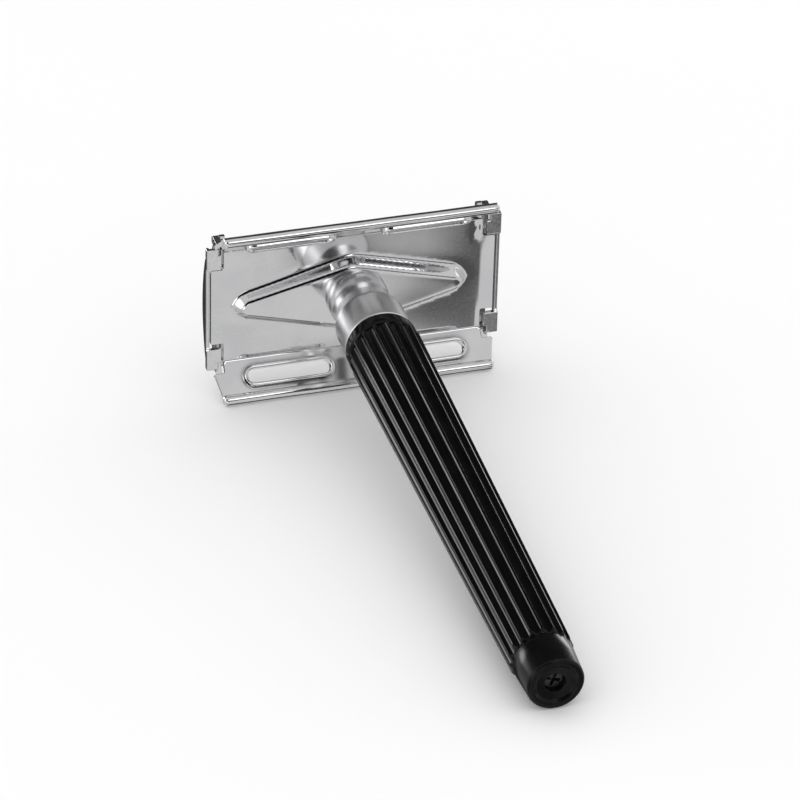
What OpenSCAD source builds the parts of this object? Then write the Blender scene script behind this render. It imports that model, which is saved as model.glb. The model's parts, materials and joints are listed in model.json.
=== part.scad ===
// Twist-to-open double-edge safety razor, lying on its side.
// Turning the knob drives the rod, which lifts the blade platform and swings both doors open.
// Each sub-part is drawn upright, with the handle along +Z and the knob's end at z = 0.
// lay() then puts it down on the floor plane, resting on one guard bar and the end of the grip.

/* [Guard plate] */
// Length of the guard plate along X
plate_len = 41.8; // [41.6:0.1:42]
// Height of the guard plate's underside above the knob's end
plate_z = 96.2; // [90:0.1:110]
// Thickness of the stamped sheet
sheet = 0.7; // [0.6:0.05:0.75]
// Half width of the flat middle of the plate
flat_half = 9.15; // [9.1:0.05:9.2]
// Distance from the middle to each rolled guard bar's centre
roll_y = 13.15; // [12.6:0.05:13.8]
// Radius of the rolled guard bars
roll_r = 0.75; // [0.6:0.05:0.9]
// Length of each guard bar
roll_len = 40.2; // [39.6:0.1:40.4]
// Length of a lather slot
slot_len = 12.2; // [8:0.1:13]
// Width of a lather slot
slot_w = 2.1; // [1.6:0.1:2.3]
// Distance from the middle to a slot's centre, along X
slot_x = 9.9; // [8.5:0.1:11]
// Half length of the diamond that the boss's long sides follow
boss_half_len = 23.4; // [22:0.1:25]
// Half length of the boss between its blunt ends
boss_end = 17.6; // [17:0.1:18]
// Half width of the diamond boss
boss_half_wid = 6.0; // [5.8:0.1:6.2]
// Height of the diamond boss
boss_h = 1.8; // [1.5:0.1:2]

/* [End caps and hinges] */
// Gap between the plate's end and an end cap's inner face
cap_gap = 0.2; // [0.15:0.05:0.3]
// Thickness of the end caps
cap_t = 0.5; // [0.4:0.05:0.6]
// Width of the folded tabs
tab_w = 3.4; // [2.6:0.1:3.6]
// Radius of the hinge pins
pin_r = 0.45; // [0.35:0.05:0.45]
// Distance from the middle to each hinge axis
pivot_y = 10.1; // [10.1:0.02:10.16]
// Height of the hinge axes above the plate's underside
pivot_dz = 1.7; // [1.7:0.02:1.76]

/* [Doors] */
// Radius of the doors' outer surface
door_r = 15.1; // [15:0.1:15.2]
// Thickness of the doors
door_t = 0.7; // [0.6:0.05:0.7]
// Gap between the two doors at the middle
door_gap = 0.24; // [0.2:0.02:0.4]
// Angle that each door opens
door_open = 70; // [50:1:70]

/* [Lifter] */
// Travel of the rod and blade platform
lift = 3.3; // [3.2:0.05:3.4]
// Radius of the drive rod
rod_r = 1.2; // [1:0.05:1.2]
// Radius of the studs that work the doors
stud_r = 0.35; // [0.3:0.05:0.35]
// Width of the blade platform
platform_w = 10; // [8:0.1:10]

/* [Neck and collar] */
// Radius of the ball under the head
ball_r = 4.4; // [4.2:0.05:4.5]
// Radius of the waist below the ball
waist_r = 4.15; // [3.9:0.05:4.2]
// Radius of the neck's lower collar
neck_r = 5.1; // [4.8:0.05:5.2]
// Radius of the black collar ring
ring_r = 5.25; // [5.2:0.05:5.3]

/* [Grip] */
// Grip radius at the head end
grip_top_r = 5.42; // [5.3:0.02:5.6]
// Grip radius at the knob end
grip_end_r = 4.38; // [4.3:0.02:4.5]
// Number of flutes
flutes = 18; // [14:4:22]
// Length of the knob that shows below the grip
knob_len = 5.85; // [5.5:0.05:6.2]
// Height of the grip's head end below the plate
grip_drop = 16.9; // [16:0.1:18]

/* [Knob] */
// Knob radius beside the grip
knob_r = 4.15; // [4:0.05:4.2]
// Knob radius at the rim of its end
knob_end_r = 3.85; // [3.7:0.05:3.9]
// Radius of the screw pocket in the knob's end
pocket_r = 1.4; // [1.2:0.05:1.5]

/* [Hidden] */
$fn = 64;
eps = 0.01;

// Heights are counted from the plate's underside inside head(), and from the knob's end elsewhere.
strip_angle = 45;
roll_z = flat_half + (sheet - roll_r) * sqrt(2) - roll_y;
strip_run = (roll_y - flat_half - roll_z) / sqrt(2);
slot_s = 2.8;
rim_w = 0.6;
rim_h = 0.8;
boss_inset = 1.05;
boss_wall = 0.8;
bar_gap = 0.65;
bar_lift = 0.2;
ring_len = 2.4;
neck_hole_r = 3.0;

cap_in = plate_len / 2 + cap_gap;
cap_out = cap_in + cap_t;
tab_y = 8.35;
tab_t = 0.65;
tab_in = 19.5;
tab_gap = 0.25;
notch_in = tab_in + 0.35;
tab_lip = notch_in + 0.05;
cap_h = 2.1;
cap_top_r = 22;
door_end = 19.2;
flange_t = 0.7;
flange_y = 5.9;
flange_z = 0.82;
flange_rise = 0.45;
crown_z = 0.55 - (door_r - door_t) * cos(45) + door_r;
door_cz = crown_z - door_r;
pin_in = door_end - flange_t + 0.05;
run_gap = 0.05;

stud_y = pivot_y - 1.2;
stud_z = 1.55;
stud_gap = 0.08;
slot_steps = 16;
stud_boss_r = 0.5;
cross_in = door_end + 0.15;
cross_out = door_end + 1;
lug_in = door_end + 0.1;
lug_r = 0.75;
lug_y = pivot_y - 0.6;
bar_z = 0.85;
bar_t = 0.6;
bar_half_w = 1.6;
platform_len = 36.4;
platform_z = bar_z + bar_t;
platform_top = 2.25;
platform_r = 25;
lug_x = 13.5;

grip_z0 = knob_len;
grip_z1 = plate_z - grip_drop;
ring_z1 = grip_z1 + ring_len;
neck_cone_z = plate_z - 8.8;
waist_z = plate_z - 6.0;
ball_z = plate_z - 2.8;
spigot_r = 3.6;
spigot_z = grip_z1 - 5.8;
tube_r = 2.9;
tube_bore_r = 2.3;
tube_z0 = knob_len + 0.55;
tube_z1 = plate_z - 10;
stem_r = 1.9;
stem_z1 = 24;
clip_z = 12.1;
clip_t = 0.4;
groove_r = stem_r - 0.4;
washer_t = 0.4;
washer_r = 3.1;
bush_lift = 0.6;
insert_z0 = 2.4;
insert_r = 2.6;
rod_z0 = 10.5;
rod_tip_r = 0.9;
rivet_r = 1.6;
rivet_h = 0.65;
screw_r = 0.75;
screw_len = 5.2;
screw_head_z = 1.3;
recess_len = 1.9;
recess_w = 0.44;
flute_end_r = 0.6;
flute_top_r = 0.78;
rim_edge = 0.6;

// Laying down: the guard bar and the grip's lower end touch the floor plane together.
rest_dz = plate_z + roll_z - (grip_z0 + rim_edge);
rest_dy = roll_y - grip_end_r;
tilt = atan(rest_dy / rest_dz) + asin(roll_r / norm([rest_dz, rest_dy]));
rest_lift = roll_r + roll_y * cos(tilt) - (plate_z + roll_z) * sin(tilt);
low_y = -knob_end_r * sin(tilt);
high_y = (plate_z + crown_z) * cos(tilt);

module lay() {
    translate([0, -(low_y + high_y) / 2, rest_lift])
        rotate([tilt - 90, 0, 0])
            children();
}

module head() {
    translate([0, 0, plate_z]) children();
}

module both_sides() {
    children();
    mirror([0, 1, 0]) children();
}

module both_ends() {
    children();
    mirror([1, 0, 0]) children();
}

// A solid along X from x0 to x1, with its outline given in Y and Z.
module along_x(x0, x1) {
    translate([x0, 0, 0])
        rotate([90, 0, 90])
            linear_extrude(height = x1 - x0)
                children();
}

module disc_x(r, x0, x1, y, z) {
    translate([x0, y, z])
        rotate([0, 90, 0])
            cylinder(r = r, h = x1 - x0);
}

module stadium(len, wid, h) {
    end = (len - wid) / 2;
    translate([-end, -wid / 2, 0]) cube([2 * end, wid, h]);
    for (s = [-1, 1])
        translate([s * end, 0, 0]) cylinder(d = wid, h = h);
}

// The boss's outline, drawn in by shrink, as a block whose sides and blunt ends
// slope in by inset from z_wide to z_narrow.
module boss_block(shrink, z_wide, z_narrow, inset) {
    turn = atan(boss_half_wid / boss_half_len);
    reach = boss_half_len * sin(turn) - shrink;
    end = boss_end - shrink;
    intersection() {
        intersection_for(s = [-1, 1])
            rotate([0, 0, s * turn])
                along_x(-2 * boss_half_len, 2 * boss_half_len)
                    slope_section(reach, z_wide, z_narrow, inset);
        rotate([90, 0, 0])
            linear_extrude(height = 4 * boss_half_wid, center = true)
                slope_section(end, z_wide, z_narrow, inset);
    }
}

module slope_section(half, z_wide, z_narrow, inset) {
    polygon([
        [-half, z_wide], [half, z_wide],
        [half - inset, z_narrow], [inset - half, z_narrow]
    ]);
}

// Places children on the underside of the +Y sloping strip, z up through the sheet.
module on_strip() {
    translate([0, flat_half, 0]) rotate([-strip_angle, 0, 0]) children();
}

module slots(grow, z0, h) {
    both_ends()
        on_strip()
            translate([slot_x, slot_s, z0])
                stadium(slot_len + 2 * grow, slot_w + 2 * grow, h);
}

module plate_profile() {
    top_y = flat_half + sheet * (sqrt(2) - 1);
    run = strip_run / sqrt(2);
    rise = sheet / sqrt(2);
    half = [
        [flat_half, 0],
        [flat_half + run, -run],
        [flat_half + run + rise, rise - run],
        [top_y, sheet]
    ];
    back = [for (i = [3:-1:0]) [-half[i][0], half[i][1]]];
    polygon(concat(half, back));
}

// Plan of the plate, whose strips are a little shorter at the guard bars.
module plate_plan() {
    x = plate_len / 2;
    r = roll_len / 2 - 0.1;
    corner = [[x, 10.3], [x - 0.4, 10.6], [r, 12.3], [r, 15]];
    polygon([
        for (s = [[1, 1], [-1, 1], [-1, -1], [1, -1]])
            for (i = s[0] * s[1] > 0 ? [0:3] : [3:-1:0])
                [s[0] * corner[i][0], s[1] * corner[i][1]]
    ]);
}

module guard_plate() {
    color("silver") lay() head() {
        difference() {
            union() {
                intersection() {
                    along_x(-plate_len / 2, plate_len / 2) plate_profile();
                    translate([0, 0, -6]) linear_extrude(height = 8) plate_plan();
                }
                both_sides()
                    disc_x(roll_r, -roll_len / 2, roll_len / 2, roll_y, roll_z);
                both_sides() slots(rim_w, -rim_h, rim_h + 0.3);
                boss_block(0, eps, -boss_h, boss_inset);
            }
            both_sides() slots(0, -2, 4);
            boss_block(
                boss_wall, 2 * sheet, sheet - boss_h, boss_inset * (boss_h + sheet) / boss_h
            );
            translate([0, 0, -2 * boss_h]) cylinder(r = neck_hole_r, h = 4 * boss_h);
            both_sides() both_ends()
                translate([notch_in, tab_y - tab_w / 2 - tab_gap, -3])
                    cube([2, tab_w + 2 * tab_gap, 5]);
        }
    }
}

// The end wall, whose arched top edge stays below the blade that lies on the platform.
module cap_outline() {
    intersection() {
        translate([0, cap_h - cap_top_r]) circle(r = cap_top_r, $fn = 256);
        translate([-tab_y, -0.2]) square([2 * tab_y, 2 * cap_h]);
    }
}

// The +X end cap.
module end_cap() {
    tab_y0 = tab_y - tab_w / 2;
    along_x(cap_in, cap_out) cap_outline();
    both_sides() {
        translate([cap_in, tab_y0, -tab_t]) cube([cap_t, tab_w, tab_t + 0.3]);
        translate([tab_lip, tab_y0, -tab_t]) cube([cap_out - tab_lip, tab_w, tab_t]);
        translate([tab_in, tab_y0, -tab_t]) cube([cap_t, flat_half - tab_gap - tab_y0, tab_t]);
    }
}

module end_cap_right() {
    color("gainsboro") lay() head() end_cap();
}

module end_cap_left() {
    color("gainsboro") lay() head() mirror([1, 0, 0]) end_cap();
}

// A lug that stands on the sloping strip beside the door and holds its hinge pin.
module lug_outline() {
    foot_y = pivot_y + lug_r;
    top_y = flat_half + sheet * (sqrt(2) - 1);
    difference() {
        union() {
            translate([pivot_y, pivot_dz]) circle(r = lug_r, $fn = 48);
            polygon([
                [lug_y, sheet + top_y - lug_y], [foot_y, sheet + top_y - foot_y],
                [foot_y, pivot_dz], [lug_y, pivot_dz]
            ]);
        }
        translate([pivot_y, pivot_dz]) circle(r = pin_r, $fn = 48);
        translate([lug_y - 2, 0]) square([2, 4]);
    }
}

module hinge_lugs() {
    color("gainsboro") lay() head()
        both_sides() both_ends()
            along_x(lug_in, cross_out) lug_outline();
}

module hinge_pins() {
    color("dimgray") lay() head()
        both_sides() both_ends()
            disc_x(pin_r, pin_in, cross_out, pivot_y, pivot_dz);
}

// The path of a lifter stud as the +Y door sees it, f going from 0 shut to 1 open.
function stud_path(f) =
    let (
        a = door_open * f,
        h = pivot_y - stud_y,
        b = stud_z - pivot_dz + lift * f
    )
    [pivot_y - h * cos(a) - b * sin(a), pivot_dz - h * sin(a) + b * cos(a)];

// Unit normal of the stud's path, by central difference.
function stud_normal(f) =
    let (
        d = stud_path(f + 0.01) - stud_path(f - 0.01),
        n = norm(d)
    )
    [-d[1] / n, d[0] / n];

module cam_slot(half_w) {
    steps = [for (i = [0:slot_steps]) i / slot_steps];
    polygon(concat(
        [for (f = steps) stud_path(f) + half_w * stud_normal(f)],
        [for (i = [slot_steps:-1:0]) stud_path(steps[i]) - half_w * stud_normal(steps[i])]
    ));
    for (f = [0, 1])
        translate(stud_path(f)) circle(r = half_w, $fn = 32);
}

// The end flange of the +Y door, in Y and Z.
module flange_outline() {
    difference() {
        union() {
            intersection() {
                translate([0, door_cz]) circle(r = door_r + flange_rise, $fn = 128);
                translate([flange_y, flange_z]) square([pivot_y - flange_y, 5]);
            }
            translate([pivot_y, pivot_dz]) circle(r = 0.8, $fn = 48);
        }
        translate([pivot_y, pivot_dz]) circle(r = pin_r + run_gap, $fn = 48);
        cam_slot(stud_r + stud_gap);
    }
}

// The shell's outline: a curved sheet from the middle seam to the clamping lip.
module shell_outline() {
    intersection() {
        difference() {
            translate([0, door_cz]) circle(r = door_r, $fn = 160);
            translate([0, door_cz]) circle(r = door_r - door_t, $fn = 160);
        }
        polygon([
            [door_gap / 2, door_cz + door_gap / 2],
            [door_gap / 2, door_cz + 30],
            [30, door_cz + 30]
        ]);
    }
}

// The +Y door.
module door() {
    flange_in = door_end - flange_t;
    along_x(-flange_in - eps, flange_in + eps) shell_outline();
    both_ends()
        along_x(flange_in, door_end) {
            flange_outline();
            intersection() {
                shell_outline();
                square([flange_y + 0.4, 20]);
            }
        }
}

module door_rear() {
    color("whitesmoke") lay() head() door();
}

module door_front() {
    color("whitesmoke") lay() head() mirror([0, 1, 0]) door();
}

module blade_platform() {
    color("lightsteelblue") lay() head() {
        difference() {
            intersection() {
                along_x(-platform_len / 2, platform_len / 2)
                    translate([0, platform_top - platform_r]) circle(r = platform_r, $fn = 400);
                translate([-30, -platform_w / 2, platform_z]) cube([60, platform_w, 5]);
            }
            translate([0, 0, platform_z - eps]) cylinder(r = rivet_r + 0.1, h = 2);
        }
        for (s = [-1, 1])
            translate([s * lug_x, 0, platform_top - 0.3]) stadium(5, 2.6, 1.1);
    }
}

module lifter_bar() {
    color("slategray") lay() head() {
        difference() {
            union() {
                boss_block(boss_wall + bar_gap, bar_z + eps, sheet - boss_h + bar_lift, boss_inset);
                translate([-cross_out, -bar_half_w, bar_z]) cube([2 * cross_out, 2 * bar_half_w, bar_t]);
            }
            translate([0, 0, -2]) cylinder(r = rod_tip_r, h = 5);
            translate([0, 0, -2]) cylinder(r = rod_r, h = 2 + sheet - boss_h + 0.5);
        }
    }
}

// The +X crosshead, outside the doors' flanges.
module crosshead() {
    difference() {
        along_x(cross_in, cross_out) {
            translate([-stud_y, stud_z - stud_boss_r]) square([2 * stud_y, 2 * stud_boss_r]);
            translate([-2.6, bar_z - 0.05]) square([5.2, 1.9]);
            for (s = [-1, 1])
                translate([s * stud_y, stud_z]) circle(r = stud_boss_r, $fn = 32);
        }
        translate([0, -bar_half_w, bar_z]) cube([30, 2 * bar_half_w, bar_t]);
        both_sides()
            disc_x(stud_r, cross_in - 1, cross_out + 1, stud_y, stud_z);
    }
}

module lifter_crosshead_right() {
    color("slategray") lay() head() crosshead();
}

module lifter_crosshead_left() {
    color("slategray") lay() head() mirror([1, 0, 0]) crosshead();
}

module lifter_studs() {
    color("dimgray") lay() head()
        both_sides() both_ends()
            disc_x(stud_r, pin_in, cross_out, stud_y, stud_z);
}

module rod_rivet() {
    color("goldenrod") lay() head()
        translate([0, 0, platform_z]) cylinder(r = rivet_r, h = rivet_h);
}

module drive_rod() {
    rod_top = plate_z + sheet - boss_h + 0.5;
    color("lightgray") lay() {
        translate([0, 0, rod_z0]) cylinder(r = rod_r, h = rod_top - rod_z0);
        translate([0, 0, rod_top - eps])
            cylinder(r = rod_tip_r, h = plate_z + platform_z - rod_top + eps);
    }
}

module rod_guide_bush() {
    color("goldenrod") lay()
        translate([0, 0, tube_z1 - 4]) difference() {
            cylinder(r = tube_bore_r, h = 4);
            translate([0, 0, -1]) cylinder(r = rod_r + run_gap, h = 6);
        }
}

module neck() {
    boss_z = plate_z - boss_h;
    color("darkgray") lay()
        difference() {
            union() {
                translate([0, 0, spigot_z]) cylinder(r = spigot_r, h = ring_z1 - spigot_z + 1);
                translate([0, 0, ring_z1]) cylinder(r = neck_r, h = neck_cone_z - ring_z1);
                translate([0, 0, neck_cone_z])
                    cylinder(r1 = neck_r, r2 = waist_r, h = waist_z - neck_cone_z);
                translate([0, 0, waist_z]) cylinder(r = waist_r, h = ball_z - waist_z);
                intersection() {
                    translate([0, 0, ball_z]) sphere(r = ball_r);
                    translate([0, 0, boss_z - 8]) cylinder(r = 10, h = 8);
                }
                translate([0, 0, boss_z - 1]) cylinder(r = neck_hole_r, h = 1 + sheet);
            }
            translate([0, 0, spigot_z - 1]) cylinder(r = tube_r, h = tube_z1 - spigot_z + 1);
            cylinder(r = rod_r + 0.4, h = plate_z + 5);
        }
}

module collar_ring() {
    edge = 0.35;
    h = ring_z1 - grip_z1 - 0.1;
    color([0.05, 0.05, 0.055]) lay()
        translate([0, 0, ring_z1 - h]) difference() {
            union() {
                cylinder(r1 = ring_r - edge, r2 = ring_r, h = edge);
                translate([0, 0, edge]) cylinder(r = ring_r, h = h - 2 * edge);
                translate([0, 0, h - edge]) cylinder(r1 = ring_r, r2 = ring_r - edge, h = edge);
            }
            translate([0, 0, -1]) cylinder(r = spigot_r, h = h + 2);
        }
}

module grip() {
    len = grip_z1 - grip_z0;
    taper = atan((grip_top_r - grip_end_r) / len);
    color([0.04, 0.04, 0.045]) lay()
        translate([0, 0, grip_z0]) difference() {
            rotate_extrude()
                polygon([
                    [0, 0], [grip_end_r - 0.5, 0], [grip_end_r, rim_edge],
                    [grip_top_r, len - 0.4], [grip_top_r - 0.35, len], [0, len]
                ]);
            for (i = [0:flutes - 1])
                rotate([0, 0, 360 / flutes * i])
                    translate([grip_end_r + 0.2, 0, -2])
                        rotate([0, taper, 0])
                            cylinder(r1 = flute_end_r, r2 = flute_top_r, h = len + 4);
            translate([0, 0, -1]) cylinder(r = tube_r, h = len + 2);
            translate([0, 0, -1]) cylinder(r = washer_r + 0.2, h = 1 + tube_z0 - grip_z0);
            translate([0, 0, spigot_z - grip_z0]) cylinder(r = spigot_r, h = len);
        }
}

module handle_tube() {
    color("lightgray") lay()
        translate([0, 0, tube_z0]) difference() {
            cylinder(r = tube_r, h = tube_z1 - tube_z0);
            translate([0, 0, -1]) cylinder(r = tube_bore_r, h = tube_z1);
        }
}

module knob_bush() {
    color("goldenrod") lay()
        translate([0, 0, tube_z0 + bush_lift]) difference() {
            cylinder(r = tube_bore_r, h = clip_z - 0.1 - tube_z0 - bush_lift);
            translate([0, 0, -1]) cylinder(r = stem_r + run_gap, h = 10);
        }
}

module friction_washer() {
    color("lightgray") lay()
        translate([0, 0, tube_z0 - washer_t]) difference() {
            cylinder(r = washer_r, h = washer_t);
            translate([0, 0, -1]) cylinder(r = stem_r + 0.2, h = 2);
        }
}

module retaining_clip() {
    color("dimgray") lay()
        translate([0, 0, clip_z]) difference() {
            cylinder(r = tube_bore_r - 0.15, h = clip_t);
            translate([0, 0, -1]) cylinder(r = groove_r, h = 2);
            translate([0, -0.8, -1]) cube([5, 1.6, 3]);
        }
}

// Half outline of the knob, with a rounded rim around a shallow dished end.
module knob_outline() {
    round_r = 0.9;
    rim_in = knob_end_r - 2 * round_r + 0.4;
    arc = [
        for (a = [-90:15:0])
            [knob_end_r - round_r + round_r * cos(a), round_r + round_r * sin(a)]
    ];
    polygon(concat(
        [[0, 0.4], [rim_in - 0.4, 0.4], [rim_in, 0]],
        arc,
        [[knob_r, knob_len - 0.15], [0, knob_len - 0.15]]
    ));
}

module knob() {
    color([0.05, 0.05, 0.055]) lay()
        difference() {
            rotate_extrude() knob_outline();
            translate([0, 0, -1]) cylinder(r = pocket_r, h = 6);
            translate([0, 0, insert_z0]) cylinder(r = insert_r, h = knob_len);
        }
}

module knob_insert() {
    color("gold") lay()
        difference() {
            union() {
                translate([0, 0, insert_z0]) cylinder(r = insert_r, h = knob_len - 0.15 - insert_z0);
                translate([0, 0, insert_z0 + 1]) cylinder(r = stem_r, h = stem_z1 - insert_z0 - 1);
            }
            translate([0, 0, clip_z]) difference() {
                cylinder(r = insert_r, h = clip_t);
                translate([0, 0, -1]) cylinder(r = groove_r, h = 2);
            }
            translate([0, 0, insert_z0 - 1]) cylinder(r = screw_r, h = screw_len + 1.4);
            translate([0, 0, rod_z0 - 1]) cylinder(r = rod_r + run_gap, h = stem_z1);
        }
}

module knob_screw() {
    color("dimgray") lay()
        difference() {
            union() {
                translate([0, 0, screw_head_z])
                    cylinder(r = pocket_r - 0.08, h = insert_z0 - screw_head_z);
                translate([0, 0, insert_z0 - eps]) cylinder(r = screw_r, h = screw_len);
            }
            for (a = [0, 90])
                rotate([0, 0, a + 20])
                    translate([-recess_len / 2, -recess_w / 2, 1]) cube([recess_len, recess_w, 0.9]);
        }
}

guard_plate();
end_cap_left();
end_cap_right();
hinge_lugs();
hinge_pins();
door_front();
door_rear();
blade_platform();
lifter_bar();
lifter_crosshead_left();
lifter_crosshead_right();
lifter_studs();
rod_rivet();
drive_rod();
rod_guide_bush();
neck();
collar_ring();
grip();
handle_tube();
knob_bush();
friction_washer();
retaining_clip();
knob();
knob_insert();
knob_screw();
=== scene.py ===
import json
import math

import bmesh
import bpy
import numpy as np
from mathutils import Matrix, Vector
from mathutils.geometry import delaunay_2d_cdt


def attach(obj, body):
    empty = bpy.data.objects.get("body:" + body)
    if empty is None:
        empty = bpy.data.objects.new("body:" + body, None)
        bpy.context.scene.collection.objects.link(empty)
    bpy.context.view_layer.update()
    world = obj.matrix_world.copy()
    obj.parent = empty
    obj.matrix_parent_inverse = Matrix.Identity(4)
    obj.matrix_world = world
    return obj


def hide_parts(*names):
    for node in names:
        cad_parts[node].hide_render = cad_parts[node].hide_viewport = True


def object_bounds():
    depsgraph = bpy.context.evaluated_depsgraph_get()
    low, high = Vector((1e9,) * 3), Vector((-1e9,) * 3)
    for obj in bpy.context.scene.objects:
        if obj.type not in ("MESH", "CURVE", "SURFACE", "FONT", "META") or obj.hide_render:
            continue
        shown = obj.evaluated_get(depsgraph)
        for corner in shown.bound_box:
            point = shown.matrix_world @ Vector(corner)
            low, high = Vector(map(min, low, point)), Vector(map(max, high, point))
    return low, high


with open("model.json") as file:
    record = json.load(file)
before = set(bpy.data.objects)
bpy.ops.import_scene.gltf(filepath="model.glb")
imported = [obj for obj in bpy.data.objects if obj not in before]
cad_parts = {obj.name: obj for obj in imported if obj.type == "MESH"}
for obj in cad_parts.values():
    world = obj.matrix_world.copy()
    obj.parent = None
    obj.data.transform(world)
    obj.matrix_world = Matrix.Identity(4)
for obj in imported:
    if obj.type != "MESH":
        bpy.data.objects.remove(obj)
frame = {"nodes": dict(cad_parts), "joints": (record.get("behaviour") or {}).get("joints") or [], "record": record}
CAD_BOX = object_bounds()
RECORD = frame["record"]
NODES = frame["nodes"]
MM = 0.001

# --- The upright design frame -------------------------------------------------------------
# Pieces are modelled upright: handle along +Z, knob end at z = 0, head's length along X.
joint = {j["name"]: j for j in frame["joints"]}
mount = {m["name"]: m for m in RECORD["mounts"]}
UP = -Vector(joint["knob_spin"]["axis"]).normalized()
ACROSS = UP.cross(Vector((1, 0, 0)))
ORIGIN = Vector(mount["knob_end"]["pos_m"])
ORIGIN.x = 0
LAY = Matrix((
    (1, ACROSS.x, UP.x, ORIGIN.x),
    (0, ACROSS.y, UP.y, ORIGIN.y),
    (0, ACROSS.z, UP.z, ORIGIN.z),
    (0, 0, 0, 1),
))

# --- Dimensions in millimetres -----------------------------------------------------------------
# The plate's size, bends, bars and slots are the CAD part's. The boss, the slots' rims and the
# corner notches are the seen shape, which differs from the CAD solid by less than a millimetre.
PLATE_Z = 96.2
SHEET = 0.7
FLAT_HALF = 9.15
ROLL_Y, ROLL_R, ROLL_HALF = 13.15, 0.75, 20.1
ROLL_Z = FLAT_HALF + (SHEET - ROLL_R) * math.sqrt(2) - ROLL_Y
PLATE_HALF = 20.9
BEND_R = 0.5
STRIP_RUN = (ROLL_Y - FLAT_HALF - ROLL_Z) / math.sqrt(2)
FLAT_END = FLAT_HALF - BEND_R * math.tan(math.pi / 8)
BEND_ARC = BEND_R * math.pi / 4
STRIP_T0 = FLAT_END + BEND_ARC - BEND_R * math.tan(math.pi / 8)
SLOT_X, SLOT_S, SLOT_HALF, SLOT_R = 9.9, 2.8, 5.05, 1.05
# The boss: its long sides' diagonals, where its blunt ends are cut, its corner radius, height and
# wall's width, how soft its edges and (in square millimetres) its two middle corners are, and how
# far it is off centre and tilted along X
BOSS_HALF_LEN, BOSS_HALF_WID, BOSS_END = 23.4, 6.15, 17.3
BOSS_ROUND, BOSS_H, BOSS_INSET = 2.3, 1.8, 1.05
BOSS_SOFT = 0.27
BOSS_WAIST_SOFT = 0.36
BOSS_SHIFT, BOSS_TILT = -0.55, 0.012
TROUGH_WALL = 0.75
RIM_H, RIM_REACH, RIM_SINK = 0.95, 0.95, 0.75
EDGE_BREAK = 0.09
NECK_HOLE = 3.0
# The corner notches for the end caps' tabs
NOTCH_X, NOTCH_Y0, NOTCH_Y1 = 19.05, 6.2, 10.35


# --- Mesh helpers --------------------------------------------------------------------------
def add_mesh(name, verts, faces, body, material, stands_for=(), normals=None, sharp=None):
    """One piece from vertices in upright millimetres."""
    mesh = bpy.data.meshes.new(name)
    mesh.from_pydata((np.asarray(verts, float) * MM).tolist(), [], [list(map(int, f)) for f in faces])
    mesh.update()
    mesh.shade_smooth()
    if sharp is not None:
        mesh.set_sharp_from_angle(angle=math.radians(sharp))
    if normals is not None:
        mesh.normals_split_custom_set_from_vertices(np.asarray(normals, float).tolist())
    mesh.materials.append(material)
    obj = bpy.data.objects.new(name, mesh)
    bpy.context.scene.collection.objects.link(obj)
    obj.matrix_world = LAY
    if stands_for:
        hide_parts(*stands_for)
    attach(obj, body)
    return obj


def fillet(points, steps=6):
    """Rounds the corners of a closed 2-D outline of (x, y, radius) points."""
    out = []
    n = len(points)
    for i, (x, y, r) in enumerate(points):
        here = np.array((x, y), float)
        a = np.array(points[i - 1][:2], float) - here
        b = np.array(points[(i + 1) % n][:2], float) - here
        la, lb = np.linalg.norm(a), np.linalg.norm(b)
        a, b = a / la, b / lb
        half = math.acos(max(-1.0, min(1.0, float(a @ b)))) / 2
        if r <= 0 or half > math.pi / 2 - 0.02:
            out.append(tuple(here))
            continue
        most = 0.49
        cut = min(r / math.tan(half), most * la, most * lb)
        rr = cut * math.tan(half)
        centre = here + (a + b) / np.linalg.norm(a + b) * (rr / math.sin(half))
        p0, p1 = here + a * cut - centre, here + b * cut - centre
        turn = math.pi - 2 * half
        for k in range(steps + 1):
            f = k / steps
            swing = math.sin((1 - f) * turn) * p0 + math.sin(f * turn) * p1
            out.append(tuple(centre + swing / math.sin(turn)))
    return out


def lathe(profile, segments=96):
    """Turns a closed (r, z) outline about the handle's axis."""
    n = len(profile)
    verts, faces = [], []
    for k in range(segments):
        a = 2 * math.pi * k / segments
        verts += [(r * math.cos(a), r * math.sin(a), z) for r, z in profile]
    for k in range(segments):
        a, b = k * n, ((k + 1) % segments) * n
        for i in range(n):
            j = (i + 1) % n
            faces.append((a + i, b + i, b + j, a + j))
    return verts, faces


def outward(verts, faces):
    """Faces wound so that the closed mesh has a positive volume."""
    bm = bmesh.new()
    vs = [bm.verts.new(v) for v in verts]
    for f in faces:
        bm.faces.new([vs[i] for i in f])
    bmesh.ops.recalc_face_normals(bm, faces=bm.faces)
    bm.verts.index_update()
    got = [[v.index for v in f.verts] for f in bm.faces]
    bm.free()
    return got


# --- Material helpers ------------------------------------------------------------------------
def new_material(name):
    mat = bpy.data.materials.new(name)
    mat.use_nodes = True
    tree = mat.node_tree
    return mat, tree, tree.nodes["Principled BSDF"]


def noise(tree, scale, detail=3.0, stretch=(1, 1, 1), distortion=0.0):
    """A 3-D noise in object space; scale is in cycles per metre."""
    coord = tree.nodes.new("ShaderNodeTexCoord")
    mapping = tree.nodes.new("ShaderNodeMapping")
    mapping.inputs["Scale"].default_value = stretch
    tex = tree.nodes.new("ShaderNodeTexNoise")
    tex.inputs["Scale"].default_value = scale
    tex.inputs["Detail"].default_value = detail
    tex.inputs["Distortion"].default_value = distortion
    tree.links.new(coord.outputs["Object"], mapping.inputs["Vector"])
    tree.links.new(mapping.outputs["Vector"], tex.inputs["Vector"])
    return tex.outputs["Fac"]


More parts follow.
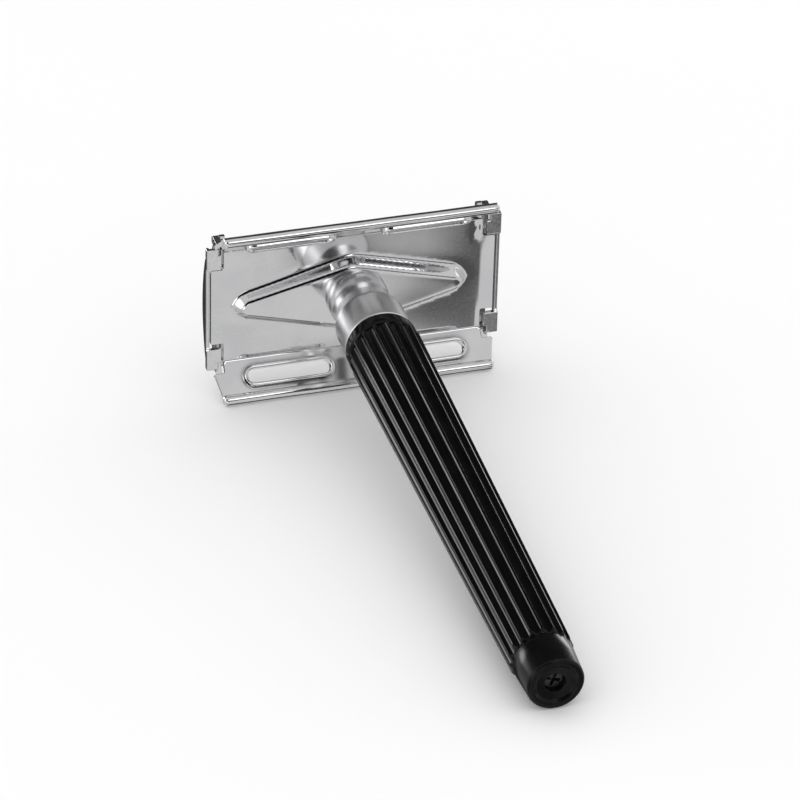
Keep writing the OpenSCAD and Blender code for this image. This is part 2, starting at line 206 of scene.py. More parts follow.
def ramp(tree, value, low, high, to_low, to_high):
    """A value's range from low to high, mapped smoothly to to_low and to_high."""
    node = tree.nodes.new("ShaderNodeMapRange")
    node.interpolation_type = "SMOOTHSTEP"
    for key, v in zip(("From Min", "From Max", "To Min", "To Max"), (low, high, to_low, to_high)):
        node.inputs[key].default_value = v
    tree.links.new(value, node.inputs["Value"])
    return node.outputs["Result"]


# Places of a Mix node's colour sockets
MIX_FACTOR, MIX_A, MIX_B, MIX_RESULT = 0, 6, 7, 2


def blend_colour(tree, fac, a, b):
    """Colour a where the factor is 0 and b where it is 1; each is a tuple or a socket."""
    node = tree.nodes.new("ShaderNodeMix")
    node.data_type = "RGBA"
    for socket, v in ((node.inputs[MIX_A], a), (node.inputs[MIX_B], b)):
        if isinstance(v, tuple):
            socket.default_value = (*v, 1)
        else:
            tree.links.new(v, socket)
    tree.links.new(fac, node.inputs[MIX_FACTOR])
    return node.outputs[MIX_RESULT]


def bump(tree, shader, height, strength, distance):
    """Bump from a height of 0 to 1; distance is its full height in metres."""
    node = tree.nodes.new("ShaderNodeBump")
    node.inputs["Strength"].default_value = strength
    node.inputs["Distance"].default_value = distance
    tree.links.new(height, node.inputs["Height"])
    tree.links.new(node.outputs["Normal"], shader.inputs["Normal"])


# Noise scales in cycles per metre
CLOUD, SPOTS, LINES = 160, 420, 2600
CLOUD_PLASTIC, PEEL, RUB = 240, 900, 1500
# Stretches of a noise. Pieces modelled here have the handle along Z, and CAD nodes along Y.
ALONG_HANDLE = (1, 1, 0.12)
TURNED, TURNED_NODE, ROLLED_NODE = (0.12, 0.12, 2.5), (0.3, 2, 0.3), (0.1, 2, 2)


def metal(name, light, dark, rough, rough_spread, patina=None, scratch=(1, 1, 1),
          bump_size=0.00001, fold_shade_and_grime=None):
    """Plated or plain metal: cloudy tone, uneven polish, fine scratches and, if asked, a warm patina
    and painted shade (colour, reach in metres) darkening the folds, partly standing for dirt there."""
    mat, tree, shader = new_material(name)
    shader.inputs["Metallic"].default_value = 1.0
    cloud = noise(tree, CLOUD, 4, distortion=0.6)
    colour = blend_colour(tree, ramp(tree, cloud, 0.35, 0.7, 0, 1), light, dark)
    if patina:
        spots = ramp(tree, noise(tree, SPOTS, 6, distortion=1.2), 0.62, 0.78, 0, 0.8)
        colour = blend_colour(tree, spots, colour, patina)
    # Painted shade: ambient occlusion darkens the colour to near-black in the folds, round the boss, slot rims and
    # edges; it stands partly for dirt
    if fold_shade_and_grime:
        corner = tree.nodes.new("ShaderNodeAmbientOcclusion")
        corner.only_local = True
        corner.samples = 8
        corner.inputs["Distance"].default_value = fold_shade_and_grime[1]
        fold_shade = ramp(tree, corner.outputs["AO"], 0.55, 0.93, 0.9, 0)
        colour = blend_colour(tree, fold_shade, colour, fold_shade_and_grime[0])
    tree.links.new(colour, shader.inputs["Base Color"])
    lines = noise(tree, LINES, 3, stretch=scratch)
    polish = ramp(tree, lines, 0.3, 0.75, rough, rough + rough_spread)
    tree.links.new(polish, shader.inputs["Roughness"])
    bump(tree, shader, lines, 0.25, bump_size)
    return mat


def plastic(name, tone, rough, spread):
    """Glossy moulded plastic with a faint orange peel and lengthwise, slightly rubbed patches."""
    mat, tree, shader = new_material(name)
    cloud = noise(tree, CLOUD_PLASTIC, 4, distortion=0.4)
    worn = tuple(1.9 * c for c in tone)
    shade = blend_colour(tree, ramp(tree, cloud, 0.4, 0.75, 0, 1), tone, worn)
    tree.links.new(shade, shader.inputs["Base Color"])
    peel = noise(tree, PEEL, 2)
    rub = noise(tree, RUB, 5, stretch=ALONG_HANDLE)
    tree.links.new(ramp(tree, rub, 0.35, 0.8, rough, rough + spread), shader.inputs["Roughness"])
    shader.inputs["Specular IOR Level"].default_value = 0.15
    shader.inputs["Coat Weight"].default_value = 0.05
    shader.inputs["Coat Roughness"].default_value = 0.12
    bump(tree, shader, peel, 0.12, 0.00002)
    return mat


# The plate's colour has painted shade darkening its folds, partly standing for dirt
PLATE_CHROME = metal("plate_chrome", (0.81, 0.81, 0.815), (0.75, 0.75, 0.765), 0.05, 0.05,
                     bump_size=0.000002, fold_shade_and_grime=((0.07, 0.06, 0.052), 0.0011))
BAR_CHROME = metal("bar_chrome", (0.80, 0.80, 0.805), (0.70, 0.70, 0.71), 0.06, 0.08,
                   patina=(0.42, 0.31, 0.17))
CAP_CHROME = metal("cap_chrome", (0.84, 0.84, 0.84), (0.76, 0.76, 0.765), 0.06, 0.08)
DOOR_CHROME = metal("door_chrome", (0.83, 0.83, 0.835), (0.77, 0.77, 0.78), 0.05, 0.06)
SATIN = metal("satin_neck", (0.80, 0.80, 0.805), (0.75, 0.75, 0.755), 0.29, 0.05,
              scratch=TURNED, bump_size=0.0000008)
STEEL = metal("plain_steel", (0.62, 0.62, 0.63), (0.52, 0.52, 0.53), 0.22, 0.15, scratch=TURNED_NODE)
PLATFORM = metal("platform_steel", (0.70, 0.70, 0.71), (0.60, 0.60, 0.62), 0.16, 0.12,
                 scratch=ROLLED_NODE)
BRASS = metal("turned_brass", (0.72, 0.54, 0.24), (0.60, 0.42, 0.17), 0.2, 0.12, scratch=TURNED_NODE)
SCREW = metal("dark_screw", (0.10, 0.10, 0.105), (0.05, 0.05, 0.052), 0.35, 0.15)
GRIP_BLACK = plastic("grip_black", (0.0022, 0.0021, 0.0021), 0.13, 0.10)
RING_BLACK = plastic("ring_black", (0.002, 0.0019, 0.0019), 0.09, 0.08)
KNOB_BLACK = plastic("knob_black", (0.0028, 0.0028, 0.0031), 0.20, 0.10)


# --- Guard plate -----------------------------------------------------------------------------
def sheet_profile(t):
    """Underside of the bent sheet across its width: position (y, z) and normal into the sheet."""
    u = np.abs(t)
    side = np.where(t < 0, -1.0, 1.0)
    bend = np.clip((u - FLAT_END) / BEND_R, 0, math.pi / 4)
    y = np.minimum(u, FLAT_END) + BEND_R * np.sin(bend)
    z = -BEND_R + BEND_R * np.cos(bend)
    run = np.maximum(u - FLAT_END - BEND_ARC, 0) * math.sqrt(0.5)
    return side * (y + run), z - run, side * np.sin(bend), np.cos(bend)


def soft(u, width):
    """The positive part of u, with its corner rounded over a width."""
    return (u + np.sqrt(u * u + width * width)) / 2


def diamond_gap(x, y):
    """Signed distance to the boss's outline: two pairs of shallow sides between blunt, rounded ends."""
    turn = math.atan2(BOSS_HALF_WID, BOSS_HALF_LEN)
    ax = np.sqrt((x - BOSS_SHIFT) ** 2 + BOSS_WAIST_SOFT)
    side = ax * math.sin(turn) + np.abs(y) * math.cos(turn) - BOSS_HALF_LEN * math.sin(turn) + BOSS_ROUND
    end = ax - BOSS_END + BOSS_ROUND
    outside = np.hypot(np.maximum(side, 0), np.maximum(end, 0))
    return np.minimum(np.maximum(side, end), 0) + outside - BOSS_ROUND


def boss(x, t, shrink):
    """Height of the boss over the flat, its outline drawn in by shrink."""
    d = diamond_gap(x, t) + shrink
    rise = (soft(-d, BOSS_SOFT) - soft(-d - BOSS_INSET, BOSS_SOFT)) / BOSS_INSET
    return rise * (BOSS_H + BOSS_TILT * x)


# The bent end strip: two points of its crease, its slope and how soft the crease is
CREASE_A, CREASE_B = np.array((19.45, -5.8)), np.array((18.3, 10.0))
CREASE_SLOPE, CREASE_SOFT = 0.075, 0.12
# A small dimple: place, half sizes and depth
DIMPLE_X, DIMPLE_T, DIMPLE_A, DIMPLE_B, DIMPLE_H = 18.2, -7.6, 0.5, 1.2, -0.30
CROWN_H, CROWN_LEN, CROWN_WID = 0.10, 46, 26
WAVE_H = 0.05


def warp(x, t):
    """Slow unevenness of the stamped sheet, the bent end strip and one small dimple."""
    along = (CREASE_B - CREASE_A) / np.linalg.norm(CREASE_B - CREASE_A)
    beyond = (x - CREASE_A[0]) * along[1] - (t - CREASE_A[1]) * along[0]
    h = CROWN_H * np.cos(math.pi * x / CROWN_LEN) * np.cos(math.pi * t / CROWN_WID)
    h += WAVE_H * np.sin(x * 0.21 + 1.0) * np.sin(t * 0.33 + 0.5)
    h += CREASE_SLOPE * soft(beyond, CREASE_SOFT)
    bump_d = ((x - DIMPLE_X) / DIMPLE_A) ** 2 + ((t - DIMPLE_T) / DIMPLE_B) ** 2
    return h + DIMPLE_H * np.exp(-bump_d)


def under(x, t):
    """Height of the sheet's underside."""
    return boss(x, t, 0.0) + warp(x, t)


def over(x, t):
    """Height of the sheet's upper side, with the trough that the boss leaves."""
    return -SHEET + boss(x, t, TROUGH_WALL) + warp(x, t)


def place(x, t, h):
    """Points at a height above the bent underside."""
    y, z, ny, nz = sheet_profile(t)
    return np.stack([x, y - ny * h, z - nz * h], -1) + np.array((0, 0, PLATE_Z))


def surface_normals(x, t, height, towards_under):
    """Normals of a height field on the bent sheet, by central difference."""
    e = 0.01
    px = place(x + e, t, height(x + e, t)) - place(x - e, t, height(x - e, t))
    pt = place(x, t + e, height(x, t + e)) - place(x, t - e, height(x, t - e))
    n = np.cross(px, pt)
    n /= np.linalg.norm(n, axis=1)[:, None]
    return -n if towards_under else n


def stadium(cx, cs, grow, arc=14, straight=16):
    """Points (x, t) and outward directions round a slot grown by some distance."""
    r = SLOT_R + grow
    pts = []
    for k in range(straight):
        pts.append((SLOT_HALF - 2 * SLOT_HALF * k / straight, r, 0, 1))
    for k in range(arc):
        a = math.pi / 2 + math.pi * k / arc
        pts.append((-SLOT_HALF + r * math.cos(a), r * math.sin(a), math.cos(a), math.sin(a)))
    for k in range(straight):
        pts.append((-SLOT_HALF + 2 * SLOT_HALF * k / straight, -r, 0, -1))
    for k in range(arc):
        a = -math.pi / 2 + math.pi * k / arc
        pts.append((SLOT_HALF + r * math.cos(a), r * math.sin(a), math.cos(a), math.sin(a)))
    pts = np.array(pts)
    pts[:, 0] += cx
    pts[:, 1] += cs
    return pts


# Section of a slot's formed rim: distance out from the hole and height on the underside.
RIM = fillet([
    (RIM_REACH, 0.0, 0), (0.62, 0.0, 0.30), (0.44, RIM_H, 0.24), (0.0, RIM_H, 0.24),
    (0.0, -SHEET, 0.35), (RIM_SINK, -SHEET, 0), (RIM_SINK, -3.0, 0),
], 6)[:-1]
RIM[0] = (RIM_REACH, 0.0)
RIM_NORMALS = []
for i in range(len(RIM)):
    step = np.subtract(RIM[min(i + 1, len(RIM) - 1)], RIM[max(i - 1, 0)])
    RIM_NORMALS.append((step[1], -step[0]) / np.linalg.norm(step))


def strip_t(y):
    """Distance across the sheet of a point on the sloping strip at some Y."""
    return STRIP_T0 + (y - FLAT_HALF) * math.sqrt(2)


def plate_outline(inset):
    """The sheet's outline in (x, t), with small rounded corners, drawn in by inset; and its normals."""
    quarter = [
        (PLATE_HALF, 0, 0), (PLATE_HALF, NOTCH_Y0, 0.25), (NOTCH_X, NOTCH_Y0, 0.25),
        (NOTCH_X, strip_t(NOTCH_Y1), 0.25), (20.75, strip_t(NOTCH_Y1) + 0.05, 0.25),
        (20.5, strip_t(10.75), 0.3), (20.0, strip_t(12.4), 0.5), (19.95, STRIP_T0 + STRIP_RUN, 0),
    ]
    pts = []
    for sx, st in ((1, 1), (-1, 1), (-1, -1), (1, -1)):
        run = [(sx * x, st * t, r) for x, t, r in quarter]
        run = run[1:] if sx * st > 0 else run[:0:-1]
        pts += run
    line = np.array(fillet(pts, 3))
    dense = []
    for i in range(len(line)):
        a, b = line[i], line[(i + 1) % len(line)]
        parts = max(1, int(np.linalg.norm(b - a) / 0.8))
        dense += [a + (b - a) * k / parts for k in range(parts)]
    line = np.array(dense)
    ahead = np.roll(line, -1, 0) - line
    ahead /= np.linalg.norm(ahead, axis=1)[:, None]
    back = np.roll(ahead, 1, 0)
    out = np.stack([ahead[:, 1] + back[:, 1], -ahead[:, 0] - back[:, 0]], 1)
    out /= np.linalg.norm(out, axis=1)[:, None]
    return line - out * inset, out


def inside_polygon(points, polygon):
    """True for the points inside, by counting crossings."""
    x, y = points[:, 0], points[:, 1]
    hit = np.zeros(len(points), bool)
    for (x0, y0), (x1, y1) in zip(polygon, np.roll(polygon, -1, 0)):
        if y0 == y1:
            continue
        crosses = (y0 > y) != (y1 > y)
        hit ^= crosses & (x < (x1 - x0) * (y - y0) / (y1 - y0) + x0)
    return hit


def ring_points(radius, count):
    a = 2 * math.pi * np.arange(count) / count
    return np.stack([radius * np.cos(a), radius * np.sin(a)], 1)


def triangulate(loops, lines, spacing):
    """Triangles between the first loop and the holes, refined where the boss and the bends are."""
    pts, edges = [], []
    for loop in loops:
        base = len(pts)
        pts += [tuple(p) for p in loop]
        edges += [(base + i, base + (i + 1) % len(loop)) for i in range(len(loop))]
    fixed = len(pts)
    grid = []
    reach, fine_x, fine_t, fine_step, clearance = 21, 18.2, 7.4, 0.22, 0.12
    xs = np.arange(-reach, reach + 0.01, spacing)
    for t in lines:
        grid += [(x + (spacing / 3 if i % 2 else 0), t) for i, x in enumerate(xs)]
    gx, gt = np.meshgrid(np.arange(-fine_x, fine_x + 0.01, fine_step),
                         np.arange(-fine_t, fine_t + 0.01, fine_step))
    near = np.stack([gx.ravel(), gt.ravel()], 1)
    d = diamond_gap(near[:, 0], near[:, 1])
    near = near[(d > -TROUGH_WALL - BOSS_INSET - 0.5) & (d < 0.5)]
    grid = np.concatenate([np.array(grid), near])
    keep = inside_polygon(grid, np.array(loops[0]))
    clear = np.ones(len(grid), bool)
    for loop in loops:
        away = grid[:, None, :] - np.asarray(loop)[None, :, :]
        clear &= np.min(np.hypot(away[..., 0], away[..., 1]), axis=1) > clearance
    for loop in loops[1:]:
        keep &= ~inside_polygon(grid, np.array(loop))
    grid = grid[keep & clear]
    pts += [tuple(p) for p in grid]
    got = delaunay_2d_cdt([Vector(p) for p in pts], edges, [], 0, 1e-6)
    where = np.array([v[:] for v in got[0]])
    origin = {o: i for i, olds in enumerate(got[3]) for o in olds}
    tris = np.array([f for f in got[2] if len(f) == 3])
    centre = where[tris].mean(1)
    ok = inside_polygon(centre, np.array(loops[0]))
    for loop in loops[1:]:
        ok &= ~inside_polygon(centre, np.array(loop))
    return where, tris[ok], [origin[i] for i in range(fixed)]


def guard_plate():
    """The stamped sheet as one closed mesh: under and upper side, cut edge, slots' rims and hole."""
    verts, normals, faces = [], [], []

    def add(points, norms):
        start = sum(len(v) for v in verts)
        verts.append(points)
        normals.append(norms)
        return np.arange(start, start + len(points))

    def bridge(a, b, flip=False):
        n = len(a)
        for i in range(n):
            j = (i + 1) % n
            quad = (a[i], a[j], b[j], b[i])
            faces.append(quad[::-1] if flip else quad)

    rim_out, out = plate_outline(0.0)
    rim_in, _ = plate_outline(EDGE_BREAK)
    slots = [(sx * SLOT_X, st * (STRIP_T0 + SLOT_S)) for sx in (-1, 1) for st in (-1, 1)]
    bends = [s * (FLAT_END + BEND_ARC * k / 5) for s in (-1, 1) for k in range(-1, 7)]
    rows = np.concatenate([np.arange(-14.6, 14.7, 0.6), bends])
    margin = 0.3
    rows = [t for t in rows
            if not (FLAT_END - margin < abs(t) < FLAT_END + BEND_ARC + margin) or t in bends]
    panel = {}
    sides = (("under", under, RIM[0][0], True), ("over", over, RIM[-1][0], False))
    for key, height, grow, down in sides:
        loops = [rim_in] + [stadium(cx, ct, grow)[:, :2] for cx, ct in slots]
        loops.append(ring_points(NECK_HOLE, 48))
        where, tris, fixed = triangulate(loops, rows, 0.6)
        x, t = where[:, 0], where[:, 1]
        ids = add(place(x, t, height(x, t)), surface_normals(x, t, height, down))
        for f in tris:
            a, b, c = ids[f]
            faces.append((c, b, a) if down else (a, b, c))
        sizes = [len(p) for p in loops]
        starts = np.cumsum([0] + sizes)
        panel[key] = [ids[np.array(fixed[starts[i]:starts[i + 1]])] for i in range(len(loops))]

    # the sheet's cut edge, with broken corners
    mid = []
    for depth in (EDGE_BREAK, SHEET - EDGE_BREAK):
        x, t = rim_out[:, 0], rim_out[:, 1]
        pos = place(x, t, warp(x, t) - depth)
        _, _, ny, nz = sheet_profile(t)
        nrm = np.stack([out[:, 0], out[:, 1] * nz, -out[:, 1] * ny], 1)
        mid.append(add(pos, nrm / np.linalg.norm(nrm, axis=1)[:, None]))
    bridge(panel["under"][0], mid[0])
    bridge(mid[0], mid[1])
    bridge(mid[1], panel["over"][0])

    # the formed rims round the slots
    for i, (cx, ct) in enumerate(slots):
        prev = panel["under"][1 + i]
        for (d, h), (nd, nh) in list(zip(RIM, RIM_NORMALS))[1:-1]:
            ring = stadium(cx, ct, d)
            x, t = ring[:, 0], ring[:, 1]
            pos = place(x, t, warp(x, t) + h)
            _, _, ny, nz = sheet_profile(t)
            nx, nt = ring[:, 2] * nd, ring[:, 3] * nd
            nrm = np.stack([nx, nt * nz - ny * nh, -nt * ny - nz * nh], 1)
            now = add(pos, nrm / np.linalg.norm(nrm, axis=1)[:, None])
            bridge(prev, now, flip=True)
            prev = now
        bridge(prev, panel["over"][1 + i], flip=True)

    # the hole that the neck's tenon fills
    bridge(panel["under"][-1], panel["over"][-1], flip=True)
    return np.concatenate(verts), faces, np.concatenate(normals)


pv, pf, pn = guard_plate()
pf = outward(pv.tolist(), pf)
add_mesh("guard_plate_sheet", pv, pf, "handle_and_guard", PLATE_CHROME,
         ("guard_plate",), normals=pn)


def guard_bar(side):
    """A rolled guard bar with rounded ends and a slight waviness."""
    nose, straight, steps, count = 0.55, ROLL_HALF - 1.2, 8, 40
    ends = []
    for k in range(steps + 1):
        a = math.pi / 2 * k / steps
        ends.append((ROLL_R * math.sin(a) if k else 0.0, -ROLL_HALF + nose * (1 - math.cos(a))))
    stations = ends + [(ROLL_R, x) for x in np.linspace(-straight, straight, 24)]
    stations += [(r, -x) for r, x in reversed(ends)]
    verts, faces = [], []
    for r, x in stations:
        if r == 0:
            verts.append((x, side * ROLL_Y, PLATE_Z + ROLL_Z))
            continue
        for k in range(count):
            a = 2 * math.pi * k / count
            sag = 0.02 * math.sin(x * 0.5 + side)
            z = PLATE_Z + ROLL_Z + r * math.sin(a) + sag
            verts.append((x, side * ROLL_Y + r * math.cos(a), z))
    rings = []
    i = 0
    for r, x in stations:
        rings.append([i] if r == 0 else list(range(i, i + count)))
        i += len(rings[-1])
    for a, b in zip(rings, rings[1:]):
        for k in range(count):
            j = (k + 1) % count
            quad = [a[k % len(a)], a[j % len(a)], b[j % len(b)], b[k % len(b)]]
            faces.append([v for n, v in enumerate(quad) if v not in quad[:n]])
    return add_mesh(f"guard_bar_{'rear' if side > 0 else 'front'}", verts, outward(verts, faces),
                    "handle_and_guard", BAR_CHROME)


for side in (-1, 1):
    guard_bar(side)

# --- Neck, ring, grip and knob -----------------------------------------------------------------
BALL_Z, BALL_R, BOSS_Z = PLATE_Z - 2.8, 4.4, PLATE_Z - BOSS_H
COLLAR_R, COLLAR_Z = 5.1, 81.7
SPIGOT_R, SPIGOT_Z = 3.6, 73.5
BORE_R, BORE_Z, ROD_BORE_R = 2.9, 86.2, 1.6
RING_Z0, RING_Z1, RING_R = 79.42, 81.68, 5.25
TURNED_STEPS = 128
ball = [
    (BALL_R * math.cos(a), BALL_Z + BALL_R * math.sin(a), 0)
    for a in np.linspace(-0.34, math.asin((BOSS_Z - BALL_Z) / BALL_R), 14)
]
neck_line = fillet([
    (BORE_R, SPIGOT_Z, 0.1), (SPIGOT_R, SPIGOT_Z, 0.2), (SPIGOT_R, COLLAR_Z, 0),
    (COLLAR_R, COLLAR_Z, 0.25), (COLLAR_R, PLATE_Z - 8.9, 2.6),
    (4.13, PLATE_Z - 6.0, 2.2), (4.12, PLATE_Z - 4.9, 0.5), *ball,
    (4.28, BOSS_Z - 0.02, 0), (NECK_HOLE, BOSS_Z - 0.02, 0),
    (NECK_HOLE, PLATE_Z + SHEET, 0.15), (ROD_BORE_R, PLATE_Z + SHEET, 0.15),
    (ROD_BORE_R, BORE_Z, 0), (BORE_R, BORE_Z, 0),
], 8)
nv, nf = lathe(neck_line, TURNED_STEPS)
add_mesh("neck_turned", nv, outward(nv, nf), "handle_and_guard", SATIN, ("neck",), sharp=38)

ring_line = fillet([
    (SPIGOT_R, RING_Z0, 0), (5.0, RING_Z0, 0.15), (RING_R, 79.75, 0.25),
    (RING_R, 81.35, 0.3), (4.95, RING_Z1, 0.2), (SPIGOT_R, RING_Z1, 0),
], 6)
rv, rf = lathe(ring_line, TURNED_STEPS)
add_mesh("collar_ring_black", rv, outward(rv, rf), "handle_and_guard", RING_BLACK,
         ("collar_ring",), sharp=60)

GRIP_Z0, GRIP_Z1, GRIP_R0, GRIP_R1, FLUTES = 5.85, 79.3, 4.38, 5.42, 18
# A flute: its half width in degrees, depth at the knob end, how much deeper it is at the top, and
# the exponent of its section. A ridge: how far its shoulders fall, where, and how wide.
FLUTE_HALF, FLUTE_DEPTH, FLUTE_DEEPER, FLUTE_FORM = 7.9, 0.42, 0.14, 0.72
SHOULDER_FALL, SHOULDER_AT, SHOULDER_WIDE = 0.035, 7.6, 2.4


def grip():
    """Fluted, tapered grip: ridges die out in a bevel at both ends."""
    stations = [(GRIP_Z0 + up, drop) for up, drop in
                ((0, 0.52), (0.12, 0.34), (0.3, 0.17), (0.55, 0.04), (0.8, 0))]
    stations += [(z, 0) for z in np.linspace(GRIP_Z0 + 1.2, GRIP_Z1 - 0.9, 40)]
    stations += [(GRIP_Z1 - below, drop) for below, drop in
                 ((0.5, 0), (0.3, 0.06), (0.12, 0.2), (0, 0.4))]
    half = [1.7, 3.4, 5, 6.3, 7.1, 7.7, 8.3, 9]
    pitch = 360 / FLUTES
    offsets = [-pitch / 2] + [-o for o in reversed(half)] + [0] + half
    angles = [math.radians(pitch * k + o) for k in range(FLUTES) for o in offsets]
    fall = []
    for o in offsets * FLUTES:
        g = max(0.0, 1 - (abs(o) / FLUTE_HALF) ** 2) ** FLUTE_FORM
        near = max(0.0, 1 - abs(abs(o) - SHOULDER_AT) / SHOULDER_WIDE)
        fall.append((g, SHOULDER_FALL * near ** 2))
    verts, n = [], len(angles)
    for z, drop in stations:
        f = (z - GRIP_Z0) / (GRIP_Z1 - GRIP_Z0)
        r0 = GRIP_R0 + (GRIP_R1 - GRIP_R0) * f
        depth = FLUTE_DEPTH + FLUTE_DEEPER * f
        for a, (g, sh) in zip(angles, fall):
            r = min(r0 - depth * g - sh, r0 - drop)
            verts.append((r * math.cos(a), r * math.sin(a), z))
    end_r, end_z = 3.3, 6.4
    inner = [
        (SPIGOT_R, GRIP_Z1), (SPIGOT_R, SPIGOT_Z), (BORE_R, SPIGOT_Z),
        (BORE_R, end_z), (end_r, end_z), (end_r, GRIP_Z0),
    ]
    for r, z in inner:
        verts += [(r * math.cos(a), r * math.sin(a), z) for a in angles]
    rings = len(stations) + len(inner)
    faces = []
    for k in range(rings):
        a, b = k * n, ((k + 1) % rings) * n
        faces += [(a + i, a + (i + 1) % n, b + (i + 1) % n, b + i) for i in range(n)]
    return verts, outward(verts, faces)


gv, gf = grip()
add_mesh("grip_fluted", gv, gf, "handle_and_guard", GRIP_BLACK, ("grip",), sharp=50)

SCREW_HOLE_R, INSERT_R, INSERT_Z, KNOB_TOP = 1.4, 2.6, 2.4, 5.7
knob_line = fillet([
    (SCREW_HOLE_R, 0.42, 0.12), (2.55, 0.40, 0.3), (2.95, 0.0, 0.25), (3.85, 0.0, 0.85),
    (3.99, 3.0, 0), (4.12, 5.5, 0), (4.02, KNOB_TOP, 0.12), (INSERT_R, KNOB_TOP, 0),
    (INSERT_R, INSERT_Z, 0), (SCREW_HOLE_R, INSERT_Z, 0),
], 8)
kv, kf = lathe(knob_line, TURNED_STEPS)
add_mesh("knob_turned", kv, outward(kv, kf), "knob", KNOB_BLACK, ("knob",), sharp=42)

# --- CAD nodes that stay, with broken edges (width in millimetres) and their own finish ------------
WELD_REACH = 0.002
BEVEL_ANGLE = 35
KEPT = {
    "end_cap_left": (CAP_CHROME, 0.12),
    "end_cap_right": (CAP_CHROME, 0.12),
    "hinge_pins": (STEEL, 0.06),
    "hinge_lugs": (CAP_CHROME, 0.06),
    "door_front": (DOOR_CHROME, 0.12),
    "door_rear": (DOOR_CHROME, 0.12),
    "blade_platform": (PLATFORM, 0.12),
    "lifter_bar": (PLATFORM, 0.1),
    "lifter_crosshead_left": (PLATFORM, 0.1),
    "lifter_crosshead_right": (PLATFORM, 0.1),
    "lifter_studs": (STEEL, 0.05),
    "rod_rivet": (BRASS, 0.12),
    "drive_rod": (STEEL, 0.1),
    "rod_guide_bush": (BRASS, 0),
    "handle_tube": (STEEL, 0),
    "knob_bush": (BRASS, 0),
    "friction_washer": (STEEL, 0),
    "retaining_clip": (STEEL, 0),
    "knob_insert": (BRASS, 0),
    "knob_screw": (SCREW, 0.05),
}
for name, (material, width) in KEPT.items():
    node = NODES[name]
    node.data.materials.clear()
    node.data.materials.append(material)
    if width:
        weld = node.modifiers.new("weld", "WELD")
        weld.merge_threshold = WELD_REACH * MM
        bevel = node.modifiers.new("bevel", "BEVEL")
        bevel.width = width * MM
        bevel.segments = 3
        bevel.limit_method = "ANGLE"
        bevel.angle_limit = math.radians(BEVEL_ANGLE)
        bevel.use_clamp_overlap = True
        bevel.harden_normals = True

# --- Stage: pale floor, studio light, camera ---------------------------------------------------------
FLOOR_HALF, FLOOR_GAP = 3.0, 0.08 * MM
mat, tree, shader = new_material("floor_paper")
tone = blend_colour(tree, noise(tree, 9, 2), (0.95, 0.95, 0.95), (0.93, 0.93, 0.93))
tree.links.new(tone, shader.inputs["Base Color"])
shader.inputs["Roughness"].default_value = 0.9
floor_mesh = bpy.data.meshes.new("floor")
corners = [(x * FLOOR_HALF, y * FLOOR_HALF, 0) for x, y in ((-1, -1), (1, -1), (1, 1), (-1, 1))]
floor_mesh.from_pydata(corners, [], [(0, 1, 2, 3)])
floor_mesh.materials.append(mat)
floor = bpy.data.objects.new("floor", floor_mesh)
floor.location.z = CAD_BOX[0].z - FLOOR_GAP
bpy.context.scene.collection.objects.link(floor)
floor.visible_glossy = False

world = bpy.data.worlds.new("studio")
bpy.context.scene.world = world
world.use_nodes = True
wt = world.node_tree
background = wt.nodes["Background"]
direction = wt.nodes.new("ShaderNodeTexCoord").outputs["Generated"]


def math_node(kind, a, b):
    """A Math node of the world's tree; each operand is a number or a socket."""
    node = wt.nodes.new("ShaderNodeMath")
    node.operation = kind
    for socket, v in zip(node.inputs, (a, b)):
        if isinstance(v, (int, float)):
            socket.default_value = v
        else:
            wt.links.new(v, socket)
    return node.outputs[0]


def lobe(axis, inner, outer):
    """1 within inner degrees of a direction, falling to 0 at outer degrees."""
    dot = wt.nodes.new("ShaderNodeVectorMath")
    dot.operation = "DOT_PRODUCT"
    dot.inputs[1].default_value = Vector(axis).normalized()
    wt.links.new(direction, dot.inputs[0])
    low, high = (math.cos(math.radians(angle)) for angle in (outer, inner))
    return ramp(wt, dot.outputs["Value"], low, high, 0, 1)


def mix_number(share, a, b):
    """a where the share is 1 and b where it is 0."""
    rest = math_node("SUBTRACT", 1.0, share)
    return math_node("ADD", math_node("MULTIPLY", share, a), math_node("MULTIPLY", rest, b))


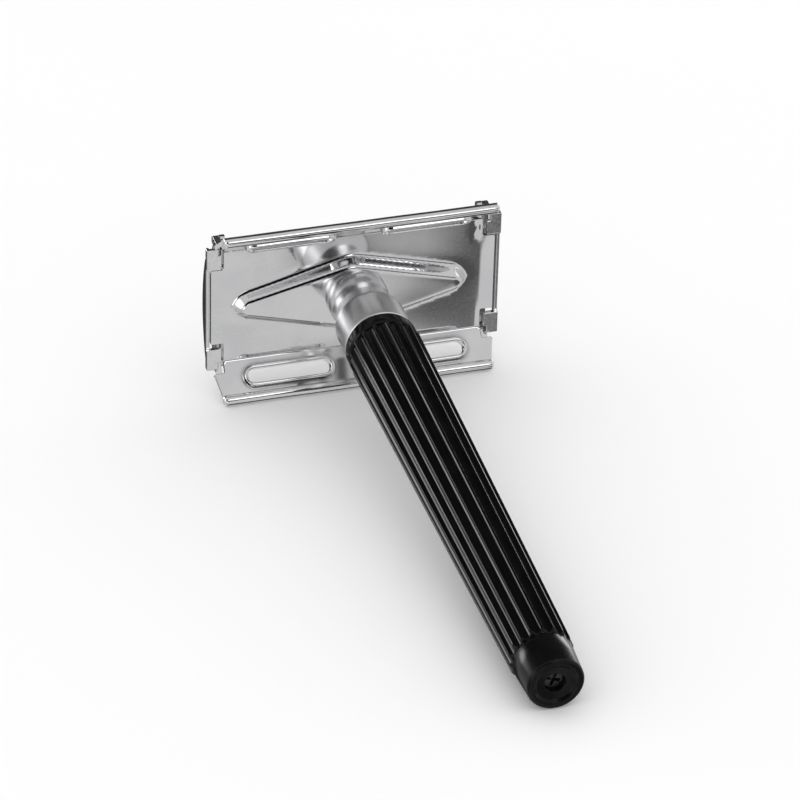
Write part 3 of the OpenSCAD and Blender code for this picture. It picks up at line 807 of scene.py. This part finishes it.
# Light and dark areas of the studio, which only reflections see. Each has a direction, how many
# degrees it covers in full, how many beyond which it is gone, and its brightness. A later one lies
# over an earlier one. The handle sees those with a high Y directly; the plate sees those with a
# low Y, and the neck sees them by way of the plate.
CARDS = [
    ((0.0, 0.93, -0.36), 14, 27, 0.04),
    ((0.0, 0.80, 0.50), 38, 52, 0.05),
    ((-0.34, 0.765, 0.52), 11, 17, 0.02),
    ((-0.58, 0.80, 0.06), 6, 12, 6.0),
    ((0.58, 0.81, -0.04), 5, 11, 3.4),
    ((0.48, -0.69, -0.55), 12.5, 16.5, 0.09),
    ((0.236, 0.0, -0.97), 15, 22, 0.05),
    ((0.236, 0.32, -0.91), 9, 17, 0.05),
    ((0.12, -0.985, 0.10), 8, 14, 0.05),
    ((-0.50, -0.62, -0.60), 8, 15, 0.05),
    ((0.50, -0.84, 0.18), 8, 15, 0.16),
    ((-0.30, -0.87, 0.39), 23, 33, 0.0),
    ((0.20, -0.86, 0.46), 6, 13, 2.0),
    ((-0.56, -0.80, -0.18), 7, 14, 2.4),
    ((-0.15, -0.985, -0.02), 7, 12, 1.0),
    ((-0.96, -0.15, 0.25), 9, 20, 2.2),
    ((0.90, 0.10, 0.42), 6, 16, 1.2),
]
STUDIO_GREY, PLAIN_LIGHT = 0.66, 1.07
studio = STUDIO_GREY
for axis, inner, outer, level in CARDS:
    studio = mix_number(lobe(axis, inner, outer), level, studio)
glossy = wt.nodes.new("ShaderNodeLightPath").outputs["Is Glossy Ray"]
wt.links.new(mix_number(glossy, studio, PLAIN_LIGHT), background.inputs["Strength"])
background.inputs["Color"].default_value = (1, 1, 1, 1)

# The camera in the upright frame: its place, and its right, down and forward directions
CAM_AT = Vector((-164.47, -375.45, -471.52)) * MM
SENSOR_MM, LENS_MM = 36.0, 221.34
CAM_ROWS = (
    (0.9611, -0.0225, -0.2753),
    (-0.1348, 0.8317, -0.5386),
    (0.2411, 0.5548, 0.7963),
)
cam_data = bpy.data.cameras.new("camera")
cam_data.sensor_width = SENSOR_MM
cam_data.lens = LENS_MM
camera = bpy.data.objects.new("camera", cam_data)
bpy.context.scene.collection.objects.link(camera)
right, down, ahead = (Vector(r).normalized() for r in CAM_ROWS)
local = Matrix((right, -down, -ahead)).transposed().to_4x4()
local.translation = CAM_AT
camera.matrix_world = LAY @ local
cam_data.clip_start, cam_data.clip_end = 0.01, 20.0
bpy.context.scene.camera = camera
bpy.context.scene.view_settings.view_transform = "Standard"
